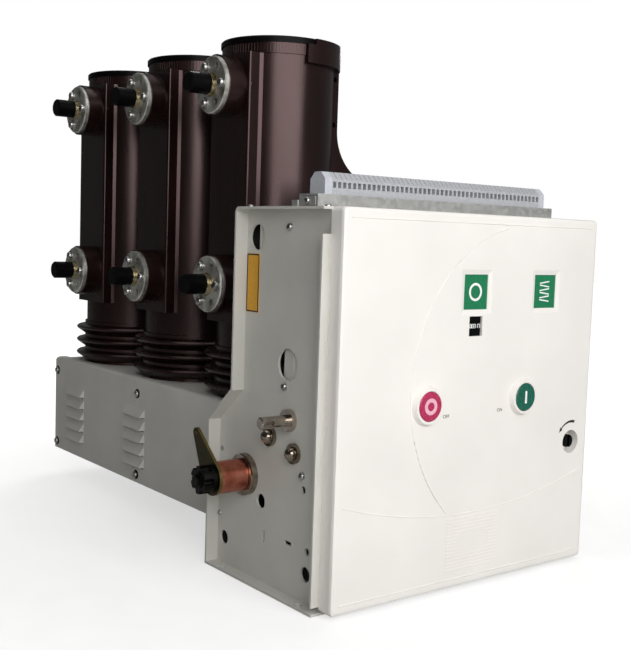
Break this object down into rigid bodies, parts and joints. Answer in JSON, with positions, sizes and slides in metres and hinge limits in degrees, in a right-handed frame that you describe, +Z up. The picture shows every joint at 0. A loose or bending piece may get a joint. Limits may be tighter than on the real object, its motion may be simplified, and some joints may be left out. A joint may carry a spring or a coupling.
{
  "type": "indoor vacuum circuit breaker",
  "caption": "Side-mounted indoor vacuum circuit breaker: a sheet-metal drive box with front cover, a louvred base behind it and a row of shedded resin poles with round terminals.",
  "frame": {"origin": "middle of the drive box's floor plate, in its foot face", "axes": "+Z up, front cover facing -Y, pole row running back along +Y, terminals pointing to -X"},
  "size_m": [0.504, 0.839, 0.681],
  "materials": {
    "painted_sheet": "semi-matt powder coat",
    "cover_white": "satin moulded",
    "brown_epoxy": "gloss cast resin",
    "black_plastic": "satin moulded",
    "silver_plate": "silver plated",
    "zinc_steel": "bright zinc plated",
    "galvanised_steel": "galvanised",
    "blackened_steel": "black oxide",
    "copper_sleeve": "turned, satin",
    "yellow_zinc": "yellow passivated",
    "red_button": "moulded",
    "green_button": "moulded",
    "green_flag": "printed",
    "terminal_grey": "moulded"
  },
  "bodies": {
    "drive_frame": {"left_side_plate": "painted_sheet", "right_side_plate": "painted_sheet", "floor_plate": "painted_sheet", "rear_plate": "painted_sheet", "top_plate": "painted_sheet", "mechanism_frame": "galvanised_steel", "front_cover": "cover_white", "position_indicator": "green_flag", "spring_indicator": "green_flag", "operation_counter": "black_plastic", "bearing_flange": "zinc_steel", "lock_pin": "zinc_steel", "plate_bolts": "zinc_steel", "rail_bracket": "galvanised_steel", "terminal_strip": "terminal_grey", "end_clamps": "terminal_grey", "base_top_plate": "painted_sheet", "base_left_cover": "painted_sheet", "base_right_cover": "painted_sheet", "base_end_plate": "painted_sheet", "base_floor": "painted_sheet", "pole_a_housing": "brown_epoxy", "pole_a_cap": "black_plastic", "pole_a_terminals": "silver_plate", "pole_a_stud_caps": "black_plastic", "pole_b_housing": "brown_epoxy", "pole_b_cap": "black_plastic", "pole_b_terminals": "silver_plate", "pole_b_stud_caps": "black_plastic", "pole_c_housing": "brown_epoxy", "pole_c_cap": "black_plastic", "pole_c_terminals": "silver_plate", "pole_c_stud_caps": "black_plastic"},
    "open_push": {"open_button": "red_button"},
    "close_push": {"close_button": "green_button"},
    "charger": {"charging_shaft": "blackened_steel"},
    "interlock": {"interlock_shaft": "copper_sleeve", "crank_lever": "yellow_zinc", "hub_nut": "blackened_steel"}
  },
  "joints": [
    {"name": "open_press", "type": "slide", "parent": "drive_frame", "child": "open_push", "axis": [0, 1, 0], "range_m": [0, 0.005], "stiffness_N_per_m": 800},
    {"name": "close_press", "type": "slide", "parent": "drive_frame", "child": "close_push", "axis": [0, 1, 0], "range_m": [0, 0.005], "stiffness_N_per_m": 800},
    {"name": "charging_turn", "type": "hinge", "parent": "drive_frame", "child": "charger", "pos_m": [0.182, -0.1, 0.164], "axis": [0, -1, 0], "continuous": true},
    {"name": "interlock_swing", "type": "hinge", "parent": "drive_frame", "child": "interlock", "pos_m": [-0.23, 0.048, 0.128], "axis": [1, 0, 0], "range_deg": [0, 55]}
  ]
}
